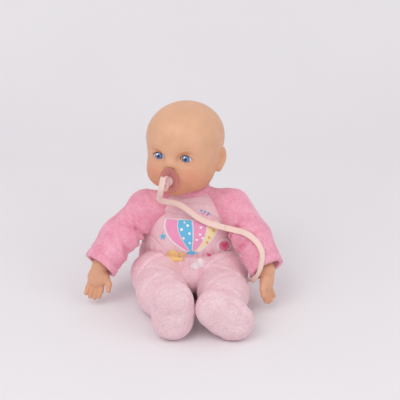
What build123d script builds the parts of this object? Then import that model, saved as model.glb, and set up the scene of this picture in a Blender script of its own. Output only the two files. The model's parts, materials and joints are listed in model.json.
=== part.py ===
"""Soft-bodied electronic baby doll sitting in a velour romper, with its pacifier and ribbon.

Millimetres, +Z up. The doll faces -Y, its left side is +X, and the origin is the middle of the
flat face that it sits on.
"""

import math
import os

from build123d import *

os.makedirs("parts", exist_ok=True)

# Cloth and clearances
cloth = 2.0
cloth_gap = 0.25
joint_gap = 0.5
fit_gap = 0.2
space = 400.0

# Torso: height of each station above the seat, with its half width, half depth and set-back
lean = math.radians(5.0)
seat_half_width = 42.0
seat_half_depth = 27.0
seat_set_back = -13.0
hip_height = 24.0
hip_half_width = 50.0
hip_half_depth = 35.0
belly_height = 52.0
belly_half_width = 47.0
belly_half_depth = 38.0
chest_height = 80.0
chest_half_width = 41.0
chest_half_depth = 31.0
shoulder_height = 97.0
shoulder_half_width = 31.0
shoulder_half_depth = 24.0
neck_height = 106.0
neck_opening_half_width = 20.0
waist_height = 46.0
elastic_width = 6.0

# Neck
neck_radius = 12.5
neck_wall = 2.5
neck_length = 12.0
neck_flange_radius = 15.0
neck_flange_thickness = 2.5
neck_tie_width = 4.0
neck_tie_thickness = 2.0
neck_set_back = -6.0
collar_height = 5.0
collar_thickness = 2.4

# Head
head_half_width = 36.0
head_wall = 3.0
head_centre_height = 148.0
head_turn = -20.0
head_sideways = -4.0
head_set_back = -8.0
cranium = (head_half_width, 42.0, 37.0)
cranium_centre = (0, 4.0, 10.0)
jaw = (34.0, 35.0, 31.0)
jaw_centre = (0, -6.0, -13.0)
head_base = -39.0
nose = (5.0, 5.0, 5.5)
nose_centre = (0, -36.2, -1.5)
ear = (4.0, 8.0, 13.0)
ear_centre = (35.5, 2.0, -6.0)
eye_radius = 7.5
eye_spacing = 28.0
eye_height = 2.0
eye_depth = -27.5
eye_cup_wall = 1.4
cornea_radius = 4.6
eye_weight_radius = 2.6
eye_weight_length = 6.0
mouth_height = -18.5
mouth_bore_radius = 5.2
mouth_cup_wall = 1.4
mouth_cup_depth = 15.0
reed_switch_radius = 1.2
reed_switch_length = 12.0

# Pacifier
shield_width = 20.0
shield_height = 26.0
shield_thickness = 2.2
shield_stand_off = 1.2
teat_radius = 3.2
teat_bulb_radius = 4.4
teat_length = 12.0
knob_radius = 4.5
knob_length = 2.4
ring_radius = 6.2
ring_wire_radius = 1.5
pacifier_magnet_radius = 1.6
pacifier_magnet_length = 2.0

# Arms
arm_length = 76.0
shoulder_ball_radius = 18.5
shoulder_spread = 43.0
shoulder_set_back = -13.0
shoulder_pivot_height = 88.0
upper_sleeve_radius = 17.2
lower_sleeve_radius = 17.6
cuff_length = 9.0
arm_splay = {"left": 26.0, "right": 36.0}
arm_forward = {"left": 48.0, "right": 41.0}
hand_splay = {"left": 2.0, "right": 14.0}
hand_forward = {"left": -3.0, "right": 7.0}
thumb_forward = {"left": 60.0, "right": 10.0}
wrist_radius = 8.0
wrist_plug_length = 18.0
wrist_tie_width = 3.0
wrist_ball_step = 0.6
palm_width = 20.0
palm_thickness = 11.0
palm_length = 22.0
finger_radius = 2.6
finger_length = 15.0
thumb_length = 11.0

# Legs
hip_ball_radius = 27.0
hip_spread = 32.0
hip_set_back = -38.0
floor_gap = 0.2
thigh_radius = 25.5
knee_radius = 23.5
knee_reach = 36.0
ankle_radius = 18.5
ankle_reach = 70.0
instep_reach = 90.0
foot_reach = 102.0
foot_half_width = 20.5
foot_half_length = 29.3
sole_rounding = 5.0
sole_depth = 8.0
knee_sideways = {"left": 34.0, "right": -25.5}
ankle_sideways = {"left": 33.5, "right": -15.5}
foot_sideways = {"left": 33.6, "right": -14.3}
foot_roll = {"left": 50.0, "right": 0.0}

# Sound unit
case_width = 40.0
case_depth = 28.0
case_height = 32.0
case_wall = 1.6
case_set_back = -4.0
case_centre_height = 72.0
pocket_gap = 0.6
button_radius = 6.0
button_length = 5.0
button_offset = 10.0
speaker_radius = 8.5
speaker_thickness = 5.0
board_thickness = 1.2
cell_radius = 5.8
cell_length = 5.4
cell_count = 3
contact_thickness = 0.6
door_width = 24.0
door_height = 14.0
door_thickness = 1.4
screw_head_radius = 1.9
screw_head_length = 1.1
knob_width = 4.0
switch_travel = 4.0
spring_wire = 0.5

# Ribbon
ribbon_diameter = 3.0

SIDES = {"left": 1, "right": -1}


def write(name, solid):
    """Write one sub-part to its own file."""
    solid.label = name
    export_step(solid, f"parts/{name}.step")


def ellipsoid(half_sizes):
    return scale(Sphere(1), by=half_sizes)


def beyond(plane):
    """Everything on the side that the plane faces."""
    return plane.location * Pos(0, 0, space / 2) * Box(space, space, space)


def shrunk(half_sizes, amount):
    return tuple(size - amount for size in half_sizes)


def limb(points, radii, ball_radius, inset):
    """A ball at the joint and a tapering tube through the given centres."""
    centres = [Vector(*point) for point in points]
    sections = []
    for index, centre in enumerate(centres):
        before = centres[max(index - 1, 0)]
        after = centres[min(index + 1, len(centres) - 1)]
        plane = Plane(origin=centre, z_dir=after - before)
        sections.append(plane * Circle(radii[index] - inset))
    return Pos(*points[0]) * Sphere(ball_radius - inset) + loft(sections)


# Torso and romper

def set_back_at(height):
    return seat_set_back + height * math.tan(lean)


def torso_body(inset):
    """The whole body shape, inset evenly from the outside of the romper."""
    stations = [
        (0, seat_half_width, seat_half_depth),
        (hip_height, hip_half_width, hip_half_depth),
        (belly_height, belly_half_width, belly_half_depth),
        (chest_height, chest_half_width, chest_half_depth),
        (shoulder_height, shoulder_half_width, shoulder_half_depth),
        (neck_height, neck_opening_half_width, neck_opening_half_width),
    ]
    sections = []
    for height, half_width, half_depth in stations:
        plane = Plane((0, set_back_at(height), height))
        sections.append(plane * Ellipse(half_width - inset, half_depth - inset))
    return loft(sections)


def shoulder_pivot(side):
    return (SIDES[side] * shoulder_spread, shoulder_set_back, shoulder_pivot_height)


def hip_pivot(side):
    return (SIDES[side] * hip_spread, hip_set_back, hip_ball_radius + floor_gap)


def arm_relief(side):
    """The dished space at the armhole that the swinging sleeve passes through."""
    splay = math.radians(arm_splay[side])
    reach_low = shoulder_ball_radius - joint_gap
    reach_high = arm_length * math.cos(splay)
    sleeve_side = (lower_sleeve_radius + 3 * joint_gap) / math.cos(splay)

    def sideways(reach):
        return shoulder_spread + reach * math.tan(splay) - sleeve_side

    cone_length = sideways(reach_high) - sideways(reach_low)
    middle = SIDES[side] * (sideways(reach_low) + sideways(reach_high)) / 2
    cone = Rot(0, SIDES[side] * 90, 0) * Cone(reach_low, reach_high, cone_length)
    return Pos(middle, shoulder_set_back, shoulder_pivot_height) * cone


def lap_space():
    """The space in front of the seat and under the belly, where the thighs lie."""
    top = 2 * hip_ball_radius + floor_gap + joint_gap
    back = hip_set_back + hip_ball_radius - joint_gap
    return Pos(0, back - space / 2, top - space / 2) * Box(space, space, space)


def fitted(body):
    """The body with room for the thighs, the arms and the neck taken out."""
    body -= lap_space()
    for side in SIDES:
        body -= arm_relief(side)
        body -= Pos(*shoulder_pivot(side)) * Sphere(shoulder_ball_radius + joint_gap)
        body -= Pos(*hip_pivot(side)) * Sphere(hip_ball_radius + joint_gap)
    neck_hole_radius = neck_flange_radius + neck_tie_thickness
    hole_height = neck_length + neck_flange_thickness + fit_gap
    hole = Cylinder(neck_hole_radius, 2 * hole_height)
    return largest(body - Pos(0, neck_set_back, neck_height) * hole)


def seam_plane():
    """The side seams lie in a plane that leans back with the body."""
    return Plane(origin=(0, seat_set_back + belly_half_depth / 4, 0), z_dir=(0, 1, -math.tan(lean)))


def case_place():
    return Pos(0, case_set_back, case_centre_height)


def sound_pocket():
    """The pocket in the stuffing for the sound unit, open towards the back."""
    width = case_width + 2 * pocket_gap
    height = case_height + 2 * pocket_gap
    front = case_set_back - case_depth / 2 - button_length - pocket_gap
    return Pos(0, front + space / 2, case_centre_height) * Box(width, space, height)


def bean_bag():
    """A flat bag of pellets at the bottom of the seat."""
    inset = cloth + 2 * cloth_gap
    slab = Pos(0, 0, bean_bag_top() / 2 + inset / 2) * Box(space, space, bean_bag_top() - inset)
    return fitted(torso_body(inset) & slab)


def bean_bag_top():
    return hip_height / 2


def torso_pieces():
    skin = fitted(torso_body(0) - (torso_body(cloth) & beyond(Plane((0, 0, cloth)))))
    filling = torso_body(cloth + cloth_gap) & beyond(Plane((0, 0, bean_bag_top() + cloth_gap)))
    write("torso_stuffing", largest(fitted(filling) - sound_pocket() - elastic_channel()))
    write("seat_bean_bag", bean_bag())
    waist = Plane((0, 0, waist_height))
    above = skin & beyond(waist)
    write("romper_seat", largest(skin - beyond(waist)))
    write("romper_front_panel", largest(above - beyond(seam_plane())))
    back = above & beyond(seam_plane())
    opening = hook_strip_width() / 2 + fit_gap
    left = back & beyond(Plane((opening, 0, 0), z_dir=(1, 0, 0)))
    right = back & beyond(Plane((-opening, 0, 0), z_dir=(-1, 0, 0)))
    write("romper_back_left", largest(left))
    write("romper_back_right", largest(right))
    placket = back & Box(hook_strip_width(), space, space)
    write("hook_strip", placket_half(placket, 1))
    write("loop_strip", placket_half(placket, -1))


def hook_strip_width():
    return 4 * cloth


def placket_half(placket, direction):
    """One of the two strips that close the back, each on its own side of the middle."""
    side = beyond(Plane((direction * fit_gap / 2, 0, 0), z_dir=(direction, 0, 0)))
    return largest(placket & side)


def largest(shape):
    """The main solid of a cut, without the crumbs beside it."""
    return max(shape.solids(), key=lambda solid: solid.volume)


def collar():
    inner = neck_flange_radius + neck_tie_thickness + fit_gap
    ring = Cylinder(inner + collar_thickness, collar_height) - Cylinder(inner, collar_height)
    top = head_centre_height + head_base - joint_gap
    ring = Pos(0, neck_set_back, top - collar_height / 2) * ring
    return largest(ring - torso_body(0))


def neck_tie():
    """The tie that gathers the body cloth in the groove of the neck."""
    inner = neck_radius + joint_gap
    ring = Cylinder(inner + neck_tie_thickness, neck_tie_width) - Cylinder(inner, neck_tie_width)
    height = neck_height - neck_length / 2
    return Pos(0, neck_set_back, height) * ring


def waist_elastic():
    """A band in a channel just above the waist seam, inside the romper's skin."""
    band = torso_body(cloth + cloth_gap) - torso_body(2 * cloth)
    height = waist_height + elastic_width / 2
    return band & (Pos(0, 0, height) * Box(space, space, elastic_width))


def elastic_channel():
    """The groove round the filling that the elastic lies in."""
    band = torso_body(0) - torso_body(2 * cloth + cloth_gap)
    height = waist_height + elastic_width / 2
    return band & (Pos(0, 0, height) * Box(space, space, elastic_width + 2 * cloth_gap))


def care_label():
    """A small folded tag in the left side seam at the hip."""
    label_length = 9.0
    label_width = 6.0
    label_thickness = 0.8
    outside = hip_half_width + label_length / 2 + fit_gap
    tag = Pos(outside, seat_set_back, hip_height) * Box(label_length, label_width, label_thickness)
    return tag - torso_body(-fit_gap)


# Sound unit

def case_half(front):
    """One half of the sound unit's case, split half way through its depth."""
    outer = Box(case_width, case_depth, case_height)
    outer = fillet(outer.edges().filter_by(Axis.Y), case_wall)
    room = Box(case_width - 2 * case_wall, case_depth - 2 * case_wall, case_height - 2 * case_wall)
    direction = -1 if front else 1
    half = (outer - room) & beyond(Plane((0, 0, 0), z_dir=(0, direction, 0)))
    wall_middle = direction * (case_depth - case_wall) / 2
    if front:
        bore = Rot(90, 0, 0) * Cylinder(button_radius + fit_gap, 2 * case_wall)
        half -= Pos(button_offset, wall_middle, 0) * bore
        for row in (-1, 0, 1):
            for column in (-1, 0, 1):
                hole = Rot(90, 0, 0) * Cylinder(1.0, 2 * case_wall)
                half -= Pos(speaker_offset() + 4 * column, wall_middle, 4 * row) * hole
    else:
        width = door_width + 2 * fit_gap
        height = door_height + 2 * fit_gap
        half -= Pos(0, wall_middle, door_drop()) * Box(width, 2 * case_wall, height)
        slot_length = knob_width + switch_travel + 2 * fit_gap
        slot = Box(slot_length, 2 * case_wall, knob_width / 2 + 2 * fit_gap)
        half -= Pos(switch_travel / 2, wall_middle, switch_rise()) * slot
    return case_place() * half


def speaker_offset():
    return -case_width / 4 + case_wall / 2


def door_drop():
    return -case_height / 2 + case_wall + door_height / 2 + 2


def switch_rise():
    return case_height / 2 - case_wall - knob_width


def speaker():
    """Cone frame and magnet behind the grille."""
    frame = Cylinder(speaker_radius, speaker_thickness / 2)
    magnet = Pos(0, 0, -speaker_thickness / 2) * Cylinder(speaker_radius * 0.6, speaker_thickness / 2)
    front = -case_depth / 2 + case_wall + fit_gap + speaker_thickness / 4
    return case_place() * Pos(speaker_offset(), front, 0) * Rot(90, 0, 0) * (frame + magnet)


def circuit_board():
    width = case_width - 2 * case_wall - 2 * fit_gap
    height = case_height - 2 * case_wall - 2 * fit_gap
    board = Box(width, board_thickness, height)
    chip_side = case_width / 6
    chip = Box(chip_side, board_thickness, chip_side)
    chip = Pos(-case_width / 4, -board_thickness, -case_height / 4) * chip
    return case_place() * Pos(0, board_depth(), 0) * (board + chip)


def board_depth():
    return -case_depth / 2 + case_wall + speaker_thickness + 2 * board_thickness + fit_gap


def cells():
    """Button cells side by side, each a separate solid."""
    group = []
    first = -cell_length * (cell_count - 1) / 2
    for index in range(cell_count):
        offset = first + index * (cell_length + fit_gap / 2)
        cell = Rot(0, 90, 0) * Cylinder(cell_radius, cell_length)
        group.append(case_place() * Pos(offset, cell_depth(), door_drop()) * cell)
    return Compound(children=group)


def cell_depth():
    return case_depth / 2 - case_wall - cell_radius - fit_gap


def contacts():
    """The two contact plates at the ends of the row of cells."""
    reach = cell_length * cell_count / 2 + contact_thickness + fit_gap
    plates = []
    for direction in (-1, 1):
        plate = Box(contact_thickness, cell_radius, cell_radius)
        plates.append(case_place() * Pos(direction * reach, cell_depth(), door_drop()) * plate)
    return Compound(children=plates)


def battery_door():
    door = Box(door_width, door_thickness, door_height)
    place = Pos(0, (case_depth - door_thickness) / 2, door_drop())
    bore = Rot(90, 0, 0) * Cylinder(screw_head_radius + fit_gap, 2 * door_thickness)
    door -= Pos(door_width / 2 - 2 * screw_head_radius, 0, 0) * bore
    return case_place() * place * door


def screws():
    """One screw in the door and two in the case, each a separate solid."""
    back = case_depth / 2
    places = [(door_width / 2 - 2 * screw_head_radius, back - screw_head_length / 2, door_drop())]
    for direction in (-1, 1):
        sideways = direction * (case_width / 2 - 2 * screw_head_radius)
        places.append((sideways, back + screw_head_length / 2, switch_rise()))
    heads = []
    for place in places:
        head = Rot(90, 0, 0) * Cylinder(screw_head_radius, screw_head_length)
        heads.append(case_place() * Pos(*place) * head)
    return Compound(children=heads)


def button_cap():
    """The press button on the front of the sound unit, with a rim that keeps it in."""
    stem = Cylinder(button_radius, button_length)
    rim = Pos(0, 0, -button_length / 2) * Cylinder(button_radius + 1.0, 1.0)
    front = -case_depth / 2 - button_length / 2 + case_wall + 1.0
    return case_place() * Pos(button_offset, front, 0) * Rot(90, 0, 0) * (stem + rim)


def button_spring():
    """A short coil behind the button, drawn as the tube that its turns fill."""
    top = -case_depth / 2 + case_wall + 1.5 + fit_gap
    bottom = board_depth() - board_thickness / 2 - fit_gap
    length = bottom - top
    coil = Cylinder(button_radius / 2, length) - Cylinder(button_radius / 2 - spring_wire, length)
    return case_place() * Pos(button_offset, (top + bottom) / 2, 0) * Rot(90, 0, 0) * coil


def switch_knob():
    """The sliding power switch, which stands a little out of the back of the case."""
    slider = Box(knob_width, case_wall + 1.0, knob_width / 2)
    back = case_depth / 2 - case_wall / 2 + 0.5
    return case_place() * Pos(0, back, switch_rise()) * slider


# Head, in its own frame: the face looks along -Y and the middle of the head is the origin

def head_place():
    return Pos(head_sideways, head_set_back, head_centre_height) * Rot(0, 0, head_turn)


def head_form(inset):
    solid = Pos(*cranium_centre) * ellipsoid(shrunk(cranium, inset))
    solid += Pos(*jaw_centre) * ellipsoid(shrunk(jaw, inset))
    return solid & beyond(Plane((0, 0, head_base + inset)))


def eye_centre(side):
    return (SIDES[side] * eye_spacing / 2, eye_depth, eye_height)


def mouth_face():
    """How far forward the face reaches at the mouth."""
    drop = (mouth_height - jaw_centre[2]) / jaw[2]
    return jaw_centre[1] - jaw[1] * math.sqrt(1 - drop * drop)


def neck_in_head():
    """The neck axis in the head's own frame."""
    turn = math.radians(-head_turn)
    across = -head_sideways
    along = neck_set_back - head_set_back
    return (
        across * math.cos(turn) - along * math.sin(turn),
        across * math.sin(turn) + along * math.cos(turn),
    )


def neck_tube():
    """The neck, with the flange at its lower end that the body cloth is tied above."""
    tube = Pos(0, 0, -neck_length / 2) * Cylinder(neck_radius, neck_length + 2)
    flange = Cylinder(neck_flange_radius, neck_flange_thickness)
    tube += Pos(0, 0, -neck_length - neck_flange_thickness / 2) * flange
    return Pos(*neck_in_head(), head_base) * tube


def neck_bore():
    depth = neck_length + neck_flange_thickness + head_wall + 1
    bore = Cylinder(neck_radius - neck_wall, 2 * depth)
    return Pos(*neck_in_head(), head_base) * bore


def head_shell():
    solid = head_form(0)
    solid += Pos(*nose_centre) * ellipsoid(nose)
    for side in SIDES:
        solid += Pos(SIDES[side] * ear_centre[0], ear_centre[1], ear_centre[2]) * ellipsoid(ear)
    solid -= head_form(head_wall)
    solid += neck_tube()
    solid -= neck_bore()
    for side in SIDES:
        solid -= Pos(*eye_centre(side)) * Sphere(eye_radius + joint_gap)
    mouth = Rot(90, 0, 0) * Cylinder(mouth_bore_radius, 4 * head_wall)
    solid -= Pos(0, mouth_face(), mouth_height) * mouth
    return head_place() * largest(solid)


def neck_plug():
    """The disc that closes the lower end of the neck."""
    disc = Cylinder(neck_radius - neck_wall - fit_gap, neck_flange_thickness)
    height = head_base - neck_length - neck_flange_thickness / 2
    return head_place() * Pos(*neck_in_head(), height) * disc


def eye_cup(side):
    """The socket behind an eye, slotted below for the eye's weight."""
    inner = eye_radius + joint_gap
    cup = Sphere(inner + eye_cup_wall) - Sphere(inner)
    cup &= beyond(Plane((0, eye_radius / 4, 0), z_dir=(0, 1, 0)))
    slot_width = 2 * eye_weight_radius + 2 * joint_gap
    cup -= Pos(0, eye_radius, 0) * Box(slot_width, 2 * space, 4 * eye_radius)
    cup = (Pos(*eye_centre(side)) * cup) & head_form(head_wall + fit_gap)
    halves = []
    for half in cup.solids():
        halves.append(head_place() * half)
    return Compound(children=halves)


def cornea_zone():
    front = Pos(0, -eye_radius, 0) * Rot(90, 0, 0) * Cylinder(cornea_radius, eye_radius)
    return Sphere(eye_radius) & front


def eyeball(side):
    ball = Sphere(eye_radius) - cornea_zone()
    return head_place() * Pos(*eye_centre(side)) * ball


def cornea(side):
    return head_place() * Pos(*eye_centre(side)) * cornea_zone()


def eye_weight(side):
    """A slug behind and below the eye that closes it when the doll lies down."""
    slug = Cylinder(eye_weight_radius, eye_weight_length)
    distance = eye_radius + eye_weight_length / 2
    place = Rot(45, 0, 0) * Pos(0, 0, -distance)
    slug = place * slug - Sphere(eye_radius)
    return head_place() * Pos(*eye_centre(side)) * slug


def mouth_cup():
    """The closed tube behind the lips that the teat goes into."""
    outer = Cylinder(mouth_bore_radius + mouth_cup_wall, mouth_cup_depth)
    room = Pos(0, 0, mouth_cup_wall) * Cylinder(mouth_bore_radius, mouth_cup_depth)
    front = mouth_face() + head_wall + fit_gap + 0.4
    place = Pos(0, front + mouth_cup_depth / 2, mouth_height) * Rot(90, 0, 0)
    cup = place * (outer - room)
    return head_place() * largest(cup & head_form(head_wall + fit_gap))


def reed_switch():
    """The magnet switch behind the mouth cup."""
    depth = mouth_face() + head_wall + mouth_cup_depth + reed_switch_radius + 1.0
    tube = Rot(0, 90, 0) * Cylinder(reed_switch_radius, reed_switch_length)
    return head_place() * Pos(0, depth, mouth_height) * tube


# Pacifier, in the head's frame

def shield_back():
    return mouth_face() - shield_stand_off


def pacifier_shield():
    plate = extrude(Ellipse(shield_width / 2, shield_height / 2), shield_thickness)
    plate = fillet(plate.edges(), shield_thickness / 2 - 0.2)
    place = Pos(0, shield_back(), mouth_height) * Rot(90, 0, 0)
    return head_place() * place * plate


def pacifier_teat():
    """Stem and bulb, with a pocket in the bulb for the magnet."""
    stem = Pos(0, 0, -teat_length / 2) * Cylinder(teat_radius, teat_length)
    bulb = Pos(0, 0, -teat_length) * Sphere(teat_bulb_radius)
    pocket = Cylinder(pacifier_magnet_radius + fit_gap, pacifier_magnet_length + 2 * fit_gap)
    teat = (stem + bulb) - Pos(0, 0, -teat_length) * pocket
    place = Pos(0, shield_back(), mouth_height) * Rot(90, 0, 0)
    return head_place() * place * teat


def pacifier_magnet():
    slug = Rot(90, 0, 0) * Cylinder(pacifier_magnet_radius, pacifier_magnet_length)
    return head_place() * Pos(0, shield_back() + teat_length, mouth_height) * slug


def knob_front():
    return shield_back() - shield_thickness - knob_length


def pacifier_knob():
    knob = Rot(90, 0, 0) * Cylinder(knob_radius, knob_length)
    knob = Pos(0, knob_front() + knob_length / 2, mouth_height) * knob
    return head_place() * (knob - ring_form(fit_gap))


def ring_form(gap):
    """The handle ring, edge on to the front, let into the knob."""
    ring = Rot(0, 90, 0) * Torus(ring_radius, ring_wire_radius + gap)
    return Pos(0, ring_depth(), mouth_height) * ring


def ring_depth():
    return knob_front() - ring_radius + ring_wire_radius / 2


def pacifier_ring():
    return head_place() * ring_form(0)


# Arms

def aim(splay_angle, forward_angle, side):
    """A direction that hangs down, turned forward and then out to the side."""
    splay = math.radians(splay_angle)
    forward = math.radians(forward_angle)
    outward = SIDES[side] * math.sin(splay)
    return Vector(outward, -math.cos(splay) * math.sin(forward), -math.cos(splay) * math.cos(forward))


def arm_direction(side):
    return aim(arm_splay[side], arm_forward[side], side)


def hand_direction(side):
    return aim(hand_splay[side], hand_forward[side], side)


def arm_point(side, distance):
    return tuple(Vector(*shoulder_pivot(side)) + arm_direction(side) * distance)


def arm_form(side, length, inset):
    points = [arm_point(side, length * share) for share in (0, 0.5, 1)]
    radii = [upper_sleeve_radius, lower_sleeve_radius, lower_sleeve_radius]
    return limb(points, radii, shoulder_ball_radius, inset)


def cuff_plane(side):
    origin = arm_point(side, arm_length - cuff_length)
    return Plane(origin=origin, z_dir=arm_direction(side))


def hand_location(side):
    """The top of the hand: +Z back up the hand, +X towards the thumb."""
    forward = math.radians(thumb_forward[side])
    plane = Plane(
        origin=arm_point(side, arm_length + joint_gap),
        x_dir=(-SIDES[side] * math.cos(forward), -math.sin(forward), 0),
        z_dir=hand_direction(side) * -1,
    )
    return plane.location


def wrist_location(side):
    """The same point, with +Z back along the arm."""
    return Plane(origin=arm_point(side, arm_length + joint_gap), z_dir=arm_direction(side) * -1).location


def hand_form():
    """Palm, four fingers and a thumb below the wrist, fingers along -Z."""
    palm = ellipsoid((palm_width / 2, palm_thickness / 2, palm_length / 2 + finger_radius))
    solid = Pos(0, 0, -palm_length * 0.55) * palm
    solid += Pos(0, 0, -palm_length * 0.2) * Cylinder(wrist_radius * 0.8, palm_length * 0.5)
    spacing = (palm_width - 2 * finger_radius) / 3
    root = -palm_length * 0.85
    for index in range(4):
        offset = (index - 1.5) * spacing
        length = finger_length - 1.4 * abs(index - 1.5)
        finger = Pos(0, 0, -length / 2) * Cylinder(finger_radius, length)
        finger += Pos(0, 0, -length) * Sphere(finger_radius)
        solid += Pos(offset, 0, root) * finger
    thumb = Pos(0, 0, -thumb_length / 2) * Cylinder(finger_radius + 0.4, thumb_length)
    thumb += Pos(0, 0, -thumb_length) * Sphere(finger_radius + 0.4)
    return solid + Pos(palm_width * 0.34, 0, -palm_length * 0.4) * Rot(0, -38, 0) * thumb


def wrist_plug():
    """The stub above the hand, with the groove that the arm's tie grips."""
    stub = Pos(0, 0, wrist_plug_length / 2) * Cylinder(wrist_radius, wrist_plug_length)
    groove = Cylinder(wrist_radius + 1, wrist_tie_width) - Cylinder(wrist_radius - 1, wrist_tie_width)
    ball = Sphere(wrist_radius - wrist_ball_step)
    return stub - Pos(0, 0, wrist_plug_length / 2) * groove + ball


def hand(side):
    return largest(hand_location(side) * hand_form() + wrist_location(side) * wrist_plug())


def wrist_tie(side):
    ring = Cylinder(wrist_radius + 0.8, wrist_tie_width - fit_gap)
    ring -= Cylinder(wrist_radius - 1 + fit_gap / 2, wrist_tie_width)
    return wrist_location(side) * Pos(0, 0, wrist_plug_length / 2) * ring


def arm_pieces(side):
    shell = arm_form(side, arm_length, 0) - arm_form(side, arm_length, cloth)
    write(f"sleeve_{side}", largest(shell - beyond(cuff_plane(side))))
    write(f"cuff_{side}", largest(shell & beyond(cuff_plane(side))))
    plug_room = Cylinder(wrist_radius + 1.2, 2 * (wrist_plug_length + joint_gap))
    filling = arm_form(side, arm_length - cuff_length, cloth + cloth_gap)
    write(f"arm_stuffing_{side}", largest(filling - wrist_location(side) * plug_room))
    write(f"hand_{side}", hand(side))
    write(f"wrist_tie_{side}", wrist_tie(side))


# Legs

def leg_form(side, inset):
    """Hip ball, thigh, shin and foot, lying along the floor with the foot upright."""
    hip = hip_pivot(side)
    knee = (knee_sideways[side], hip_set_back - knee_reach, knee_radius + floor_gap)
    ankle = (ankle_sideways[side], hip_set_back - ankle_reach, ankle_radius + floor_gap)
    instep = (foot_sideways[side], hip_set_back - instep_reach, foot_height(side))
    sole = (foot_sideways[side], hip_set_back - foot_reach + inset, foot_height(side))
    stations = [
        (hip, thigh_radius, thigh_radius),
        (knee, knee_radius, knee_radius),
        (ankle, ankle_radius, ankle_radius),
        (instep, foot_half_width, foot_half_length),
        (sole, foot_half_width - sole_rounding, foot_half_length - sole_rounding),
    ]
    sections = []
    for centre, half_width, half_length in stations:
        plane = Plane(origin=centre, x_dir=(1, 0, 0), z_dir=(0, -1, 0))
        outline = Rot(0, 0, foot_roll[side]) * Ellipse(half_width - inset, half_length - inset)
        sections.append(plane * outline)
    return Pos(*hip) * Sphere(hip_ball_radius - inset) + loft(sections, ruled=True)


def foot_height(side):
    """The height of the foot's middle when its lowest point is on the floor."""
    roll = math.radians(foot_roll[side])
    across = foot_half_width * math.sin(roll)
    upright = foot_half_length * math.cos(roll)
    return math.hypot(across, upright) + floor_gap


def leg_pieces(side):
    shell = leg_form(side, 0) - leg_form(side, cloth)
    front = hip_set_back - foot_reach
    sole_cut = beyond(Plane((0, front + sole_depth, 0), z_dir=(0, -1, 0)))
    write(f"trouser_leg_{side}", largest(shell - sole_cut))
    write(f"sole_{side}", largest(shell & sole_cut))
    write(f"leg_stuffing_{side}", largest(leg_form(side, cloth + cloth_gap)))


# Ribbon: three stretches of one limp ribbon, each a plain tube along hand-chosen points

ribbon_upper_points = [
    (-23.6, -62.2, 138.2),
    (-25.6, -67.0, 130.5),
    (-26.8, -65.5, 122.0),
    (-28.2, -60.5, 115.2),
    (-25.5, -53.5, 110.3),
    (-18.0, -48.0, 107.0),
]
ribbon_chest_points = [
    (-18.0, -48.0, 107.0),
    (-10.5, -42.5, 103.7),
    (-0.5, -38.6, 94.5),
    (11.0, -38.0, 84.6),
    (24.5, -37.8, 78.4),
    (35.7, -43.5, 78.0),
]
ribbon_side_points = [
    (35.7, -43.5, 78.0),
    (46.9, -49.2, 77.6),
    (55.0, -55.4, 77.8),
    (62.6, -61.0, 74.8),
    (68.4, -66.5, 69.6),
    (71.4, -72.4, 63.6),
    (70.2, -78.4, 55.8),
    (67.0, -81.5, 46.0),
    (62.0, -76.5, 37.0),
    (59.8, -63.0, 30.0),
    (61.6, -48.0, 28.0),
    (62.4, -34.0, 27.6),
    (58.4, -21.0, 27.0),
]


def ribbon(name, points):
    """One stretch of ribbon, with every bend as wide as its runs allow."""
    route = [Vector(*point) for point in points]
    radii = []
    for before, corner, after in zip(route, route[1:], route[2:]):
        turn = (corner - before).get_angle(after - corner)
        shorter = min((corner - before).length, (after - corner).length)
        radii.append(0.45 * shorter / math.tan(math.radians(turn) / 2))
    path = FilletPolyline(*points, radius=radii)
    start = Plane(origin=path @ 0, z_dir=path % 0)
    tube = sweep(start * Circle(ribbon_diameter / 2), path=path)
    section = math.pi * ribbon_diameter**2 / 4
    print(name, "radii", [round(radius, 1) for radius in radii])
    print(name, "length", round(path.length, 1), "volume share", tube.volume / section / path.length)
    write(name, tube)


def main():
    torso_pieces()
    write("collar", collar())
    write("neck_tie", neck_tie())
    write("waist_elastic", fitted(waist_elastic()))
    write("care_label", largest(care_label()))
    write("sound_case_front", case_half(True))
    write("sound_case_back", case_half(False))
    write("speaker", speaker())
    write("circuit_board", circuit_board())
    write("button_cells", cells())
    write("battery_contacts", contacts())
    write("battery_door", battery_door())
    write("screws", screws())
    write("belly_button", button_cap())
    write("button_spring", button_spring())
    write("power_switch", switch_knob())
    write("head_shell", head_shell())
    write("neck_plug", neck_plug())
    write("mouth_cup", mouth_cup())
    write("reed_switch", reed_switch())
    write("pacifier_shield", pacifier_shield())
    write("pacifier_teat", pacifier_teat())
    write("pacifier_magnet", pacifier_magnet())
    write("pacifier_knob", pacifier_knob())
    write("pacifier_ring", pacifier_ring())
    for side in SIDES:
        write(f"eye_cup_{side}", eye_cup(side))
        write(f"eyeball_{side}", eyeball(side))
        write(f"cornea_{side}", cornea(side))
        write(f"eye_weight_{side}", eye_weight(side))
        arm_pieces(side)
        leg_pieces(side)
    ribbon("ribbon_upper", ribbon_upper_points)
    ribbon("ribbon_chest", ribbon_chest_points)
    ribbon("ribbon_side", ribbon_side_points)


main()
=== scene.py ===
"""The looks of a seated soft-bodied baby doll: sculpted skins, cloth and print around its CAD frame."""
import json
import math

import bmesh
import bpy
import numpy as np
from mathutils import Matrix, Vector
from mathutils.bvhtree import BVHTree
from mathutils.kdtree import KDTree


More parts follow.
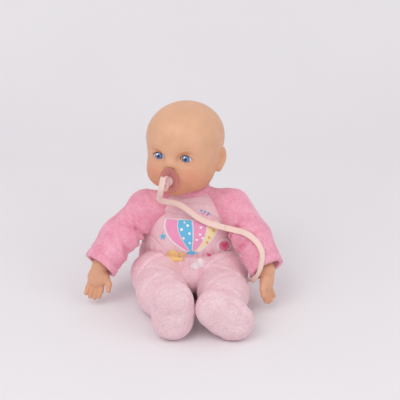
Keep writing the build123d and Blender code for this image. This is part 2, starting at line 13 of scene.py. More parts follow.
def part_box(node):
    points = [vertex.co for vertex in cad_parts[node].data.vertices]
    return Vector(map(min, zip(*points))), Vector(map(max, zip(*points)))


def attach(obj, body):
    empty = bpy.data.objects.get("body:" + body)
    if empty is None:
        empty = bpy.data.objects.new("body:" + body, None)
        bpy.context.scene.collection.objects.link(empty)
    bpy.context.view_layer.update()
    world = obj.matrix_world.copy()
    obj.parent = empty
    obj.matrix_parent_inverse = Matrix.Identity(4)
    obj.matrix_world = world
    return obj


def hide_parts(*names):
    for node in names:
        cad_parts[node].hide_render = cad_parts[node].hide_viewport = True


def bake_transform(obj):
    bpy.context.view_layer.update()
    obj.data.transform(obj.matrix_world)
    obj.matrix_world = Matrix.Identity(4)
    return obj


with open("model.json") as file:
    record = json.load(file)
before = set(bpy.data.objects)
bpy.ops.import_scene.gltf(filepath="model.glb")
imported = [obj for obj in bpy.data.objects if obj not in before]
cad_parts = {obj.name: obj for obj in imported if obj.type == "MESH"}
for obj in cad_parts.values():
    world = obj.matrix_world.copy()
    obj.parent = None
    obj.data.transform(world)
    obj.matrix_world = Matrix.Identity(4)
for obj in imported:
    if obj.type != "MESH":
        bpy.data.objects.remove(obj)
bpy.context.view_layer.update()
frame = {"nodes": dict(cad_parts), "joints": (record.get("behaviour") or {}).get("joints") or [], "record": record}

MM = 0.001
EYE_RADIUS = 7.5
PUPIL_RADIUS = 1.7
IRIS_RADIUS = 3.7
LENS_FOCUS = 85.5
SENSOR_WIDTH = 36.0
FINE = 1.0
joints = {joint["name"]: joint for joint in frame["joints"]}


# Places from the frame, in millimetres

def pivot(joint):
    return np.array(joints[joint]["pos_m"]) / MM


def node_box(node):
    low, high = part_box(node)
    return np.array(low) / MM, np.array(high) / MM


def node_middle(node):
    low, high = node_box(node)
    return (low + high) / 2


shoulder = {side: pivot(f"arm_{side}_swing") for side in ("left", "right")}
hip = {side: pivot(f"leg_{side}_swing") for side in ("left", "right")}
neck = pivot("head_turn")
eye_axis = np.array(joints["eye_left_roll"]["axis"])
eyes = {side: pivot(f"eye_{side}_roll") for side in ("left", "right")}
wrist = {side: node_middle(f"cuff_{side}") for side in ("left", "right")}
OUT = {"left": 1.0, "right": -1.0}

# The head's own frame: x towards its left, y out of the back, z up, from the middle of the head
HEAD_X = eye_axis / np.linalg.norm(eye_axis)
HEAD_Z = np.array((0.0, 0.0, 1.0))
HEAD_Y = np.cross(HEAD_Z, HEAD_X)
EYE_RAISE = 2.0
EYE_SETBACK = -27.5
head_middle = (eyes["left"] + eyes["right"]) / 2 - HEAD_Y * EYE_SETBACK - HEAD_Z * EYE_RAISE
EYE_SPREAD = np.linalg.norm(eyes["left"] - eyes["right"]) / 2


def to_head(p):
    q = p - head_middle
    return np.stack((q @ HEAD_X, q @ HEAD_Y, q @ HEAD_Z), axis=-1)


# Distance fields: negative inside

def ellipsoid(p, centre, radii):
    q = (p - np.asarray(centre)) / np.asarray(radii, float)
    near = np.linalg.norm(q, axis=-1)
    slope = np.linalg.norm(q / np.asarray(radii, float), axis=-1) + 1e-9
    return near * (near - 1) / slope


def taper(p, a, b, ra, rb):
    """A round bar from a to b whose radius runs from ra to rb."""
    a, b = np.asarray(a, float), np.asarray(b, float)
    run = b - a
    t = np.clip(((p - a) @ run) / (run @ run), 0, 1)
    return np.linalg.norm(p - a - t[..., None] * run, axis=-1) - (ra + (rb - ra) * t)


def join(a, b, k):
    h = np.clip(0.5 + 0.5 * (b - a) / k, 0, 1)
    return b * (1 - h) + a * h - k * h * (1 - h)


def cut(a, b, k):
    """a without b, with a rounded edge."""
    return -join(-a, b, k)


def bump(p, centre, size):
    """A smooth hill of height 1 around a place."""
    q = (p - np.asarray(centre)) / np.asarray(size, float)
    return np.exp(-np.sum(q * q, axis=-1))


def ripple(p, seed, scale):
    """Smooth, repeatable unevenness between -1 and 1."""
    rng = np.random.default_rng(seed)
    total = np.zeros(p.shape[:-1])
    for octave in range(6):
        direction = rng.normal(size=3)
        direction /= np.linalg.norm(direction)
        size = scale * (0.6 + 0.9 * rng.random())
        total += np.sin(p @ direction * (2 * math.pi / size) + rng.random() * 6.28)
    return total / 6


def crease(p, points, width):
    """A smooth ridge of height 1 along a line of points."""
    near = np.full(p.shape[:-1], 1e9)
    for a, b in zip(points, points[1:]):
        near = np.minimum(near, taper(p, a, b, 0, 0))
    return np.exp(-((near / width) ** 2))


# Meshes

def make_mesh(name, points, faces, smooth=True):
    mesh = bpy.data.meshes.new(name)
    mesh.from_pydata((np.asarray(points) * MM).tolist(), [], [list(map(int, f)) for f in faces])
    mesh.update()
    if smooth:
        mesh.polygons.foreach_set("use_smooth", [True] * len(mesh.polygons))
    piece = bpy.data.objects.new(name, mesh)
    bpy.context.scene.collection.objects.link(piece)
    return piece


def surface(field, low, high, step):
    """Points and four-sided faces of the field's zero level, one point to a cell."""
    step *= FINE
    axes = [np.arange(low[i], high[i] + step, step) for i in range(3)]
    shape = tuple(len(axis) for axis in axes)
    values = np.empty(shape)
    for i, x in enumerate(axes[0]):
        y, z = np.meshgrid(axes[1], axes[2], indexing="ij")
        values[i] = field(np.stack((np.full(y.shape, x), y, z), axis=-1))
    inside = values < 0
    total = np.zeros(tuple(n - 1 for n in shape) + (3,))
    count = np.zeros(tuple(n - 1 for n in shape))
    for axis in range(3):
        first = [slice(None)] * 3
        second = [slice(None)] * 3
        first[axis] = slice(0, -1)
        second[axis] = slice(1, None)
        va, vb = values[tuple(first)], values[tuple(second)]
        crossing = (va < 0) != (vb < 0)
        t = np.where(crossing, va / np.where(crossing, va - vb, 1), 0)
        others = [i for i in range(3) if i != axis]
        for da in (0, 1):
            for db in (0, 1):
                part = [slice(None)] * 3
                part[others[0]] = slice(da, da + shape[others[0]] - 1)
                part[others[1]] = slice(db, db + shape[others[1]] - 1)
                c = crossing[tuple(part)]
                offset = np.zeros(c.shape + (3,))
                offset[..., axis] = t[tuple(part)]
                offset[..., others[0]] = da
                offset[..., others[1]] = db
                total += offset * c[..., None]
                count += c
    active = count > 0
    index = np.full(count.shape, -1)
    index[active] = np.arange(active.sum())
    cells = np.argwhere(active)
    points = np.asarray(low) + (cells + total[active] / count[active][:, None]) * step
    faces = []
    for axis in range(3):
        u, v = (axis + 1) % 3, (axis + 2) % 3
        first = [slice(None)] * 3
        second = [slice(None)] * 3
        first[axis] = slice(0, -1)
        second[axis] = slice(1, None)
        a, b = inside[tuple(first)], inside[tuple(second)]
        for leaving in (True, False):
            edges = np.argwhere((a & ~b) if leaving else (~a & b))
            edges = edges[(edges[:, u] > 0) & (edges[:, v] > 0)]
            keep = (edges[:, u] < count.shape[u]) & (edges[:, v] < count.shape[v])
            edges = edges[keep]
            corners = []
            for du, dv in ((1, 1), (0, 1), (0, 0), (1, 0)):
                cell = edges.copy()
                cell[:, u] -= du
                cell[:, v] -= dv
                corners.append(index[tuple(cell.T)])
            quads = np.stack(corners, axis=-1)
            faces.append(quads if leaving else quads[:, ::-1])
    return points, np.concatenate(faces)


def settle(field, points, rounds=3):
    """Points moved onto the field's zero level, and the directions out of it."""
    h = 0.05
    for _ in range(rounds):
        out = slope(field, points, h)
        points = points - out * field(points)[:, None].clip(-1, 1)
    return points, slope(field, points, h)


def slope(field, points, h):
    grad = np.empty_like(points)
    for i in range(3):
        shift = np.zeros(3)
        shift[i] = h
        grad[:, i] = field(points + shift) - field(points - shift)
    return grad / (np.linalg.norm(grad, axis=1, keepdims=True) + 1e-12)


def sculpt(name, field, low, high, step, relief=None):
    """A piece from its field, with relief in millimetres along its outward direction."""
    points, faces = surface(field, np.asarray(low, float), np.asarray(high, float), step)
    points, out = settle(field, points)
    if relief is not None:
        points = points + out * relief(points, out)[:, None]
    return make_mesh(name, points, faces)


def tint(piece, colours):
    """Colour at each point, read by the materials as the layer named tint."""
    layer = piece.data.color_attributes.new("tint", "FLOAT_COLOR", "POINT")
    rgba = np.ones((len(colours), 4), np.float32)
    rgba[:, :3] = colours
    layer.data.foreach_set("color", rgba.ravel())


def points_of(piece):
    co = np.empty(len(piece.data.vertices) * 3)
    piece.data.vertices.foreach_get("co", co)
    return co.reshape(-1, 3) / MM


def srgb(r, g, b):
    """A colour as it looks, 0 to 255, in the shader's own scale."""
    c = np.array((r, g, b), float) / 255
    return tuple(np.where(c <= 0.04045, c / 12.92, ((c + 0.055) / 1.055) ** 2.4))


# Materials

def new_material(name):
    material = bpy.data.materials.new(name)
    material.use_nodes = True
    tree = material.node_tree
    shader = tree.nodes["Principled BSDF"]
    place = tree.nodes.new("ShaderNodeTexCoord")
    return material, tree, shader, place.outputs["Object"]


def noise(tree, place, scale, detail=2.0, rough=0.5, stretch=None):
    if stretch is not None:
        mapping = tree.nodes.new("ShaderNodeMapping")
        mapping.inputs["Scale"].default_value = stretch
        tree.links.new(place, mapping.inputs["Vector"])
        place = mapping.outputs["Vector"]
    node = tree.nodes.new("ShaderNodeTexNoise")
    node.inputs["Scale"].default_value = scale
    node.inputs["Detail"].default_value = detail
    node.inputs["Roughness"].default_value = rough
    tree.links.new(place, node.inputs["Vector"])
    return node.outputs["Fac"]


def ramp(tree, value, low, high, first=(0, 0, 0), second=(1, 1, 1)):
    node = tree.nodes.new("ShaderNodeValToRGB")
    node.color_ramp.elements[0].position = low
    node.color_ramp.elements[1].position = high
    node.color_ramp.elements[0].color = (*first, 1)
    node.color_ramp.elements[1].color = (*second, 1)
    tree.links.new(value, node.inputs["Fac"])
    return node.outputs["Color"]


def mix(tree, a, b, amount, mode="MIX"):
    node = tree.nodes.new("ShaderNodeMix")
    node.data_type = "RGBA"
    node.blend_type = mode
    for socket, value in (("A", a), ("B", b)):
        target = [i for i in node.inputs if i.name == socket and i.type == "RGBA"][0]
        if isinstance(value, tuple):
            target.default_value = (*value, 1)
        else:
            tree.links.new(value, target)
    factor = node.inputs["Factor"]
    if isinstance(amount, (int, float)):
        factor.default_value = amount
    else:
        tree.links.new(amount, factor)
    return [o for o in node.outputs if o.type == "RGBA"][0]


def raise_surface(tree, shader, layers):
    """Bump from (height, distance in metres, strength) layers, one on the other."""
    normal = None
    for height, distance, strength in layers:
        node = tree.nodes.new("ShaderNodeBump")
        node.inputs["Distance"].default_value = distance
        node.inputs["Strength"].default_value = strength
        tree.links.new(height, node.inputs["Height"])
        if normal is not None:
            tree.links.new(normal, node.inputs["Normal"])
        normal = node.outputs["Normal"]
    tree.links.new(normal, shader.inputs["Normal"])


def tint_layer(tree):
    node = tree.nodes.new("ShaderNodeAttribute")
    node.attribute_name = "tint"
    return node.outputs["Color"]


def skin_material(name="skin_vinyl"):
    """Soft vinyl with a satin skin, faint mottling and the painted blush of the tint layer."""
    material, tree, shader, place = new_material(name)
    mottle = ramp(tree, noise(tree, place, 60, 3), 0.3, 0.75, (0.93, 0.91, 0.9), (1.04, 1.04, 1.04))
    colour = mix(tree, tint_layer(tree), mottle, 1.0, "MULTIPLY")
    tree.links.new(colour, shader.inputs["Base Color"])
    gloss = ramp(tree, noise(tree, place, 220, 2), 0.3, 0.7, (0.4, 0.4, 0.4), (0.52, 0.52, 0.52))
    tree.links.new(gloss, shader.inputs["Roughness"])
    shader.inputs["Subsurface Weight"].default_value = 0.12
    shader.inputs["Subsurface Radius"].default_value = (1.0, 0.45, 0.3)
    shader.inputs["Subsurface Scale"].default_value = 0.004
    shader.inputs["Specular IOR Level"].default_value = 0.42
    raise_surface(tree, shader, [(noise(tree, place, 1800, 2), 0.00003, 0.35)])
    return material


def cloth_material(name, colour, deep, pile=0.0004, tuft=650, sheen=0.5, patch=45):
    """Brushed pile: tufts, patches where the nap lies the other way, and a pale sheen."""
    material, tree, shader, place = new_material(name)
    nap = noise(tree, place, patch, 4, 0.62)
    tufts = noise(tree, place, tuft, 3, 0.7)
    base = mix(tree, deep, colour, ramp(tree, nap, 0.3, 0.66))
    speck = ramp(tree, tufts, 0.28, 0.72, (0.84, 0.8, 0.82), (1.07, 1.07, 1.07))
    base = mix(tree, base, speck, 1.0, "MULTIPLY")
    tree.links.new(base, shader.inputs["Base Color"])
    shader.inputs["Roughness"].default_value = 0.95
    shader.inputs["Specular IOR Level"].default_value = 0.15
    shader.inputs["Sheen Weight"].default_value = sheen
    shader.inputs["Sheen Roughness"].default_value = 0.45
    shader.inputs["Sheen Tint"].default_value = (1.0, 0.86, 0.9, 1)
    raise_surface(tree, shader, [(nap, 0.0016, 0.5), (tufts, pile, 0.8)])
    return material


def plastic_material(name, colour, rough=0.35, clear=0.0, grain=400):
    material, tree, shader, place = new_material(name)
    shade = ramp(tree, noise(tree, place, grain, 2), 0.3, 0.7, (0.94, 0.94, 0.94), (1.03, 1.03, 1.03))
    tree.links.new(mix(tree, colour, shade, 1.0, "MULTIPLY"), shader.inputs["Base Color"])
    shader.inputs["Roughness"].default_value = rough
    if clear:
        shader.inputs["Transmission Weight"].default_value = clear
        shader.inputs["IOR"].default_value = 1.4
    raise_surface(tree, shader, [(noise(tree, place, grain * 3, 1), 0.00002, 0.3)])
    return material


def metal_material(name, colour):
    material, tree, shader, place = new_material(name)
    brushed = noise(tree, place, 300, 3, 0.6, (1, 1, 12))
    tree.links.new(ramp(tree, brushed, 0.3, 0.7, tuple(0.8 * c for c in colour), colour),
                   shader.inputs["Base Color"])
    shader.inputs["Metallic"].default_value = 1.0
    shader.inputs["Roughness"].default_value = 0.32
    raise_surface(tree, shader, [(brushed, 0.00003, 0.3)])
    return material


def weave_material(name, colour, pitch=0.0007, sheen=0.15, rough=0.6):
    """Fine crossing threads, for ribbon, tape and labels."""
    material, tree, shader, place = new_material(name)
    waves = []
    for direction in ("X", "Z"):
        wave = tree.nodes.new("ShaderNodeTexWave")
        wave.bands_direction = direction
        wave.inputs["Scale"].default_value = 0.32 / pitch
        wave.inputs["Distortion"].default_value = 0.6
        tree.links.new(place, wave.inputs["Vector"])
        waves.append(wave.outputs["Fac"])
    threads = mix(tree, waves[0], waves[1], 0.5)
    shade = ramp(tree, threads, 0.2, 0.8, (0.9, 0.88, 0.88), (1.04, 1.04, 1.04))
    tree.links.new(mix(tree, colour, shade, 1.0, "MULTIPLY"), shader.inputs["Base Color"])
    shader.inputs["Roughness"].default_value = rough
    shader.inputs["Sheen Weight"].default_value = sheen
    raise_surface(tree, shader, [(threads, 0.00008, 0.5)])
    return material


def print_material(name, colour):
    """Heat-transferred print: smooth ink that lets the pile underneath show a little."""
    material, tree, shader, place = new_material(name)
    pile = noise(tree, place, 900, 3, 0.7)
    shade = ramp(tree, pile, 0.25, 0.75, (0.88, 0.86, 0.87), (1.05, 1.05, 1.05))
    tree.links.new(mix(tree, colour, shade, 1.0, "MULTIPLY"), shader.inputs["Base Color"])
    shader.inputs["Roughness"].default_value = 0.7
    raise_surface(tree, shader, [(pile, 0.0001, 0.6)])
    return material


SKIN = srgb(226, 176, 142)
SKIN_WARM = srgb(216, 146, 112)
BLUSH = srgb(222, 132, 112)
LIGHT = cloth_material("light_velour", srgb(241, 208, 213), srgb(234, 189, 199), 0.00025, 900, 0.35)
PLUSH = cloth_material("dark_plush", srgb(248, 183, 202), srgb(235, 151, 175), 0.0006, 480, 0.55, 55)
LEGCLOTH = cloth_material("leg_velour", srgb(244, 213, 219), srgb(239, 198, 207), 0.0004, 600, 0.4, 60)
SOLE = cloth_material("sole_velour", srgb(240, 211, 216), srgb(234, 197, 205), 0.0004, 520, 0.4, 70)
VINYL = skin_material()


def finish_piece(piece, material, slot, *nodes):
    piece.data.materials.append(material)
    if nodes:
        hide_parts(*nodes)
    return piece


# Camera and light

VIEW_RISE = math.radians(22.0)
VIEW_DISTANCE = 950.0
view_target = np.array((11.0, hip["left"][1] + 18.0, 98.0))


def view_back():
    return np.array((0, -math.cos(VIEW_RISE), math.sin(VIEW_RISE)))


def make_camera():
    data = bpy.data.cameras.new("camera")
    data.lens = LENS_FOCUS
    data.sensor_width = SENSOR_WIDTH
    camera = bpy.data.objects.new("camera", data)
    bpy.context.scene.collection.objects.link(camera)
    camera.location = (view_target + view_back() * VIEW_DISTANCE) * MM
    camera.rotation_euler = (math.pi / 2 - VIEW_RISE, 0, 0)
    bpy.context.scene.camera = camera


def make_light(name, place, size, power, colour=(1, 1, 1)):
    data = bpy.data.lights.new(name, "AREA")
    data.shape = "DISK"
    data.size = size
    data.energy = power
    data.color = colour
    light = bpy.data.objects.new(name, data)
    bpy.context.scene.collection.objects.link(light)
    light.location = place
    aim = Vector((0, -0.03, 0.09)) - Vector(place)
    light.rotation_euler = aim.to_track_quat("-Z", "Y").to_euler()


def make_studio():
    """One pale sheet of paper that runs from the floor up behind, and soft light all round."""
    rows = []
    back, rise, radius = 0.9, 3.0, 0.5
    rows.append((-3.0, 0.0))
    rows.append((back - radius, 0.0))
    for step in range(1, 12):
        angle = math.pi / 2 * step / 12
        rows.append((back - radius + radius * math.sin(angle), radius - radius * math.cos(angle)))
    rows.append((back, radius))
    rows.append((back, rise))
    points = [(x, y / MM, z / MM) for y, z in rows for x in (-4000.0, 4000.0)]
    faces = [(2 * i, 2 * i + 1, 2 * i + 3, 2 * i + 2) for i in range(len(rows) - 1)]
    sheet = make_mesh("backdrop", points, faces)
    material, tree, shader, place = new_material("paper")
    paper = ramp(tree, noise(tree, place, 3, 2), 0.3, 0.7, srgb(235, 233, 236), srgb(238, 236, 238))
    tree.links.new(paper, shader.inputs["Base Color"])
    shader.inputs["Roughness"].default_value = 0.9
    sheet.data.materials.append(material)
    world = bpy.data.worlds.new("studio")
    bpy.context.scene.world = world
    world.use_nodes = True
    world.node_tree.nodes["Background"].inputs["Color"].default_value = (1.0, 0.985, 1.0, 1)
    world.node_tree.nodes["Background"].inputs["Strength"].default_value = 0.7
    make_light("key", (-0.7, -1.1, 1.5), 1.3, 10.5)
    make_light("fill", (1.1, -1.0, 0.9), 1.2, 4)
    bpy.context.scene.view_settings.view_transform = "Standard"


make_camera()
make_studio()


# Ribbon: one flat, limp ribbon in three stretches, from the ring to the side seam

RIBBON_WIDTH = 6.0
RIBBON_THICKNESS = 0.6
ribbon_upper_points = [
    (-23.6, -62.2, 138.2), (-25.6, -67.0, 130.5), (-26.8, -65.5, 122.0),
    (-28.2, -60.5, 115.2), (-25.5, -53.5, 110.3), (-18.0, -48.0, 107.0),
]
ribbon_chest_points = [
    (-18.0, -48.0, 107.0), (-10.5, -42.5, 103.7), (-0.5, -38.6, 94.5),
    (11.0, -38.0, 84.6), (24.5, -37.8, 78.4), (35.7, -43.5, 78.0),
]
ribbon_side_points = [
    (35.7, -43.5, 78.0), (46.9, -49.2, 77.6), (55.0, -55.4, 77.8), (62.6, -61.0, 74.8),
    (68.4, -66.5, 69.6), (71.4, -72.4, 63.6), (70.2, -78.4, 55.8), (67.0, -81.5, 46.0),
    (62.0, -76.5, 37.0), (59.8, -63.0, 30.0), (61.6, -48.0, 28.0), (62.4, -34.0, 27.6),
    (58.4, -21.0, 27.0),
]


def nurbs_line(points):
    """Points along the smooth line that the control points make."""
    curve = bpy.data.curves.new("route", "CURVE")
    curve.dimensions = "3D"
    curve.resolution_u = 24
    spline = curve.splines.new("NURBS")
    spline.points.add(len(points) - 1)
    for point, place in zip(spline.points, points):
        point.co = (*(np.array(place) * MM), 1)
    spline.order_u = 3
    spline.use_endpoint_u = True
    route = bpy.data.objects.new("route", curve)
    mesh = bpy.data.meshes.new_from_object(route)
    line = np.array([v.co for v in mesh.vertices]) / MM
    bpy.data.objects.remove(route)
    bpy.data.curves.remove(curve)
    bpy.data.meshes.remove(mesh)
    return line


def ribbon_strip(name, line, facing):
    """A flat strip along a line. facing gives the way that its broad side looks at each share."""
    rows = []
    share = np.concatenate(([0], np.cumsum(np.linalg.norm(np.diff(line, axis=0), axis=1))))
    share /= share[-1]
    keys = np.array([key for key, _ in facing])
    looks = np.array([look for _, look in facing], float)
    for index, place in enumerate(line):
        along = line[min(index + 1, len(line) - 1)] - line[max(index - 1, 0)]
        along /= np.linalg.norm(along)
        look = np.array([np.interp(share[index], keys, looks[:, i]) for i in range(3)])
        look -= along * (look @ along)
        look /= np.linalg.norm(look)
        across = np.cross(along, look)
        row = []
        for u in np.linspace(-1, 1, 7):
            cup = 0.35 * (u * u) - 0.15
            row.append(place + across * u * RIBBON_WIDTH / 2 + look * (cup + RIBBON_THICKNESS / 2))
        for u in np.linspace(1, -1, 7):
            cup = 0.35 * (u * u) - 0.15
            row.append(place + across * u * RIBBON_WIDTH / 2 + look * (cup - RIBBON_THICKNESS / 2))
        rows.append(row)
    width = len(rows[0])
    points = np.array(rows).reshape(-1, 3)
    faces = []
    for i in range(len(rows) - 1):
        for j in range(width):
            k = (j + 1) % width
            faces.append((i * width + j, i * width + k, (i + 1) * width + k, (i + 1) * width + j))
    faces.append(tuple(range(width))[::-1])
    last = (len(rows) - 1) * width
    faces.append(tuple(last + j for j in range(width)))
    return make_mesh(name, points, faces)


def make_ribbons():
    material = weave_material("cream_ribbon", srgb(243, 214, 203), 0.0008, 0.25, 0.55)
    stretches = {
        "ribbon_upper": (ribbon_upper_points,
                         [(0, (0.8, -1, 0.3)), (0.5, (0.3, -1, 0.4)), (1, (0.1, -1, 0.9))]),
        "ribbon_chest": (ribbon_chest_points,
                         [(0, (0.1, -1, 0.9)), (0.5, (0.1, -1, 0.55)), (1, (0.1, -1, 0.6))]),
        "ribbon_side": (ribbon_side_points,
                        [(0, (0.1, -1, 0.6)), (0.25, (0.3, -1, 0.7)), (0.5, (0.9, -0.9, 0.2)),
                         (0.65, (-0.5, -1, 0)), (0.8, (1, 0.1, 0.2)), (1, (1, 0, 0))]),
    }
    for name, (points, facing) in stretches.items():
        line = nurbs_line(points)
        strip = ribbon_strip(f"{name}_strip", line, facing)
        finish_piece(strip, material, "ribbon", name)
        if name == "ribbon_upper":
            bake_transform(strip)
        elif name == "ribbon_chest":
            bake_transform(strip)
        else:
            slant = np.array((1.0, 0.0, 0.34))
            slant /= slant @ slant
            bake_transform(strip)


make_ribbons()


# Head

def face_ellipsoids():
    return [
        ((0, 4.0, 9.0), (36.0, 42.0, 35.5)),
        ((0, 0.0, 16.0), (34.6, 39.0, 27.5)),
        ((0, -5.0, -13.0), (33.0, 33.5, 28.0)),
    ]


def head_field(p):
    q = to_head(p)
    mirrored = q.copy()
    mirrored[..., 0] = np.abs(q[..., 0])
    d = None
    for centre, radii in face_ellipsoids():
        part = ellipsoid(q, centre, radii)
        d = part if d is None else join(d, part, 12)
    d = join(d, ellipsoid(mirrored, (16.5, -17.0, -19.0), (15.0, 17.0, 14.5)), 9)
    d = join(d, ellipsoid(q, (0, -27.5, -31.5), (10.0, 9.5, 7.5)), 9)
    d = join(d, ellipsoid(q, (0, -30.5, -19.0), (12.0, 11.0, 9.0)), 7)
    d = join(d, ellipsoid(q, (0, -36.4, -3.6), (3.9, 4.6, 3.6)), 5)
    d = join(d, ellipsoid(mirrored, (3.8, -35.0, -4.6), (2.4, 3.4, 2.4)), 3)
    d = join(d, taper(q, (0, -34.5, 5.0), (0, -37.0, -2.0), 1.8, 2.6), 5)
    eye = np.array((EYE_SPREAD, EYE_SETBACK, EYE_RAISE))
    d = cut(d, ellipsoid(mirrored, eye + (1.0, -9.4, 0.0), (8.5, 4.0, 5.8)), 5)
    d = join(d, np.linalg.norm(mirrored - eye, axis=-1) - 8.35, 2.2)
    d = cut(d, eye_opening(mirrored - eye), 0.6)
    d = cut(d, ellipsoid(mirrored, (1.9, -39.6, -7.2), (0.9, 1.6, 0.8)), 0.8)
    lips = join(ellipsoid(mirrored, (2.6, -40.6, -16.4), (4.4, 2.2, 1.9)),
                ellipsoid(q, (0, -40.3, -20.9), (4.9, 2.4, 2.0)), 1.0)
    d = join(d, lips, 1.6)
    d = cut(d, taper(mirrored, (0, -42.2, -18.6), (7.6, -38.6, -18.3), 1.0, 0.5), 1.2)
    mouth = taper(q, (0, -50, -18.5), (0, -28, -18.5), 4.9, 4.9)
    d = cut(d, mouth, 1.2)
    d = join(d, ear_field(mirrored), 1.6)
    neck_middle = to_head(neck)
    d = join(d, taper(q, neck_middle + (0, 0, 16), neck_middle + (0, 0, -2), 13.5, 12.6), 5)
    floor = -(q[..., 2] - neck_middle[2] - 1.0)
    return -join(-d, -floor, 0.5)


def eye_opening(q):
    """The almond between the lids, in front of the eye."""
    x = q[..., 0]
    z = q[..., 2]
    upper = 3.75 * (1 - (x / 6.1) ** 2)
    lower = -3.1 * (1 - (x / 6.1) ** 2)
    sides = np.maximum(z - upper, lower - z) * 0.7
    front = q[..., 1] + 2.0
    return np.maximum(sides, front)


def ear_field(q):
    """A cupped ear, with its rim, lobe and bowl."""
    r = q - np.array((36.4, 3.0, -6.0))
    tilt = math.radians(24)
    c, s = math.cos(tilt), math.sin(tilt)
    out = np.stack((r[..., 0] * c - r[..., 1] * s, r[..., 0] * s + r[..., 1] * c, r[..., 2]), axis=-1)
    d = ellipsoid(out, (0, 0, 1.0), (3.4, 7.8, 11.5))
    d = join(d, ellipsoid(out, (-0.3, -2.2, -9.6), (2.8, 4.2, 4.4)), 2.5)
    d = cut(d, ellipsoid(out, (4.2, -0.4, 2.4), (3.6, 5.3, 8.6)), 1.6)
    d = join(d, taper(out, (1.0, 3.6, 4.5), (1.4, 1.6, -5.0), 1.0, 1.1), 1.2)
    d = cut(d, ellipsoid(out, (3.0, -2.2, -3.0), (2.6, 2.4, 3.6)), 1.2)
    return join(d, ellipsoid(out, (0.4, -4.6, -3.4), (1.7, 1.6, 2.6)), 1.2)


def head_colours(points):
    q = to_head(points)
    m = q.copy()
    m[:, 0] = np.abs(m[:, 0])
    colour = np.tile(np.array(SKIN), (len(q), 1))

    def paint(amount, shade):
        amount = np.clip(amount, 0, 1)[:, None]
        return colour * (1 - amount) + np.array(shade) * amount

    lower = 1 / (1 + np.exp((q[:, 2] + 14) / 7))
    front = 1 / (1 + np.exp((q[:, 1] + 2) / 8))
    colour = paint(0.75 * lower * (0.35 + 0.65 * front), SKIN_WARM)
    colour = paint(0.38 * bump(m, (20, -30, -14), (10, 14, 8)), BLUSH)
    colour = paint(0.5 * bump(q, (0, -36, -36), (9, 10, 6)), SKIN_WARM)
    eye = np.array((EYE_SPREAD, EYE_SETBACK - 8, EYE_RAISE))
    colour = paint(0.55 * bump(m, eye + (0, 0, 6.3), (7.5, 6, 2.6)), srgb(214, 130, 84))
    colour = paint(0.5 * bump(m, eye + (6.4, 1, -0.3), (2.4, 5, 2.2)), srgb(226, 138, 130))
    rim = eye_opening(m - np.array((EYE_SPREAD, EYE_SETBACK, EYE_RAISE)))
    near = np.exp(-((rim - 0.1) / 0.5) ** 2) * (m[:, 1] < EYE_SETBACK - 2)
    colour = paint(0.85 * near * (m[:, 2] > EYE_RAISE + 0.6), srgb(92, 54, 40))
    colour = paint(0.3 * near * (m[:, 2] <= EYE_RAISE + 0.6), srgb(206, 120, 104))
    lips = bump(m, (2.5, -41.5, -18.7), (6.0, 5, 4.2))
    colour = paint(0.85 * lips, srgb(212, 104, 96))
    brow = bump(m, (14.5, -36, 13.5), (7.0, 9, 1.1))
    colour = paint(0.2 * brow, srgb(186, 122, 78))
    colour = paint(0.35 * bump(m, (38, 4, -3), (5, 6, 6)), SKIN_WARM)
    return colour


def make_head():
    low, high = node_box("head_shell")
    low = np.array((low[0] - 6, low[1] - 6, neck[2] - 3))
    head = sculpt("head_skin", head_field, low, high + 6, 0.75)
    tint(head, head_colours(points_of(head)))
    finish_piece(head, VINYL, "skin_vinyl", "head_shell")
    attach(head, "head")


def eye_frame():
    """The way the eyes look, their left and their up."""
    return -HEAD_Y, HEAD_X, HEAD_Z


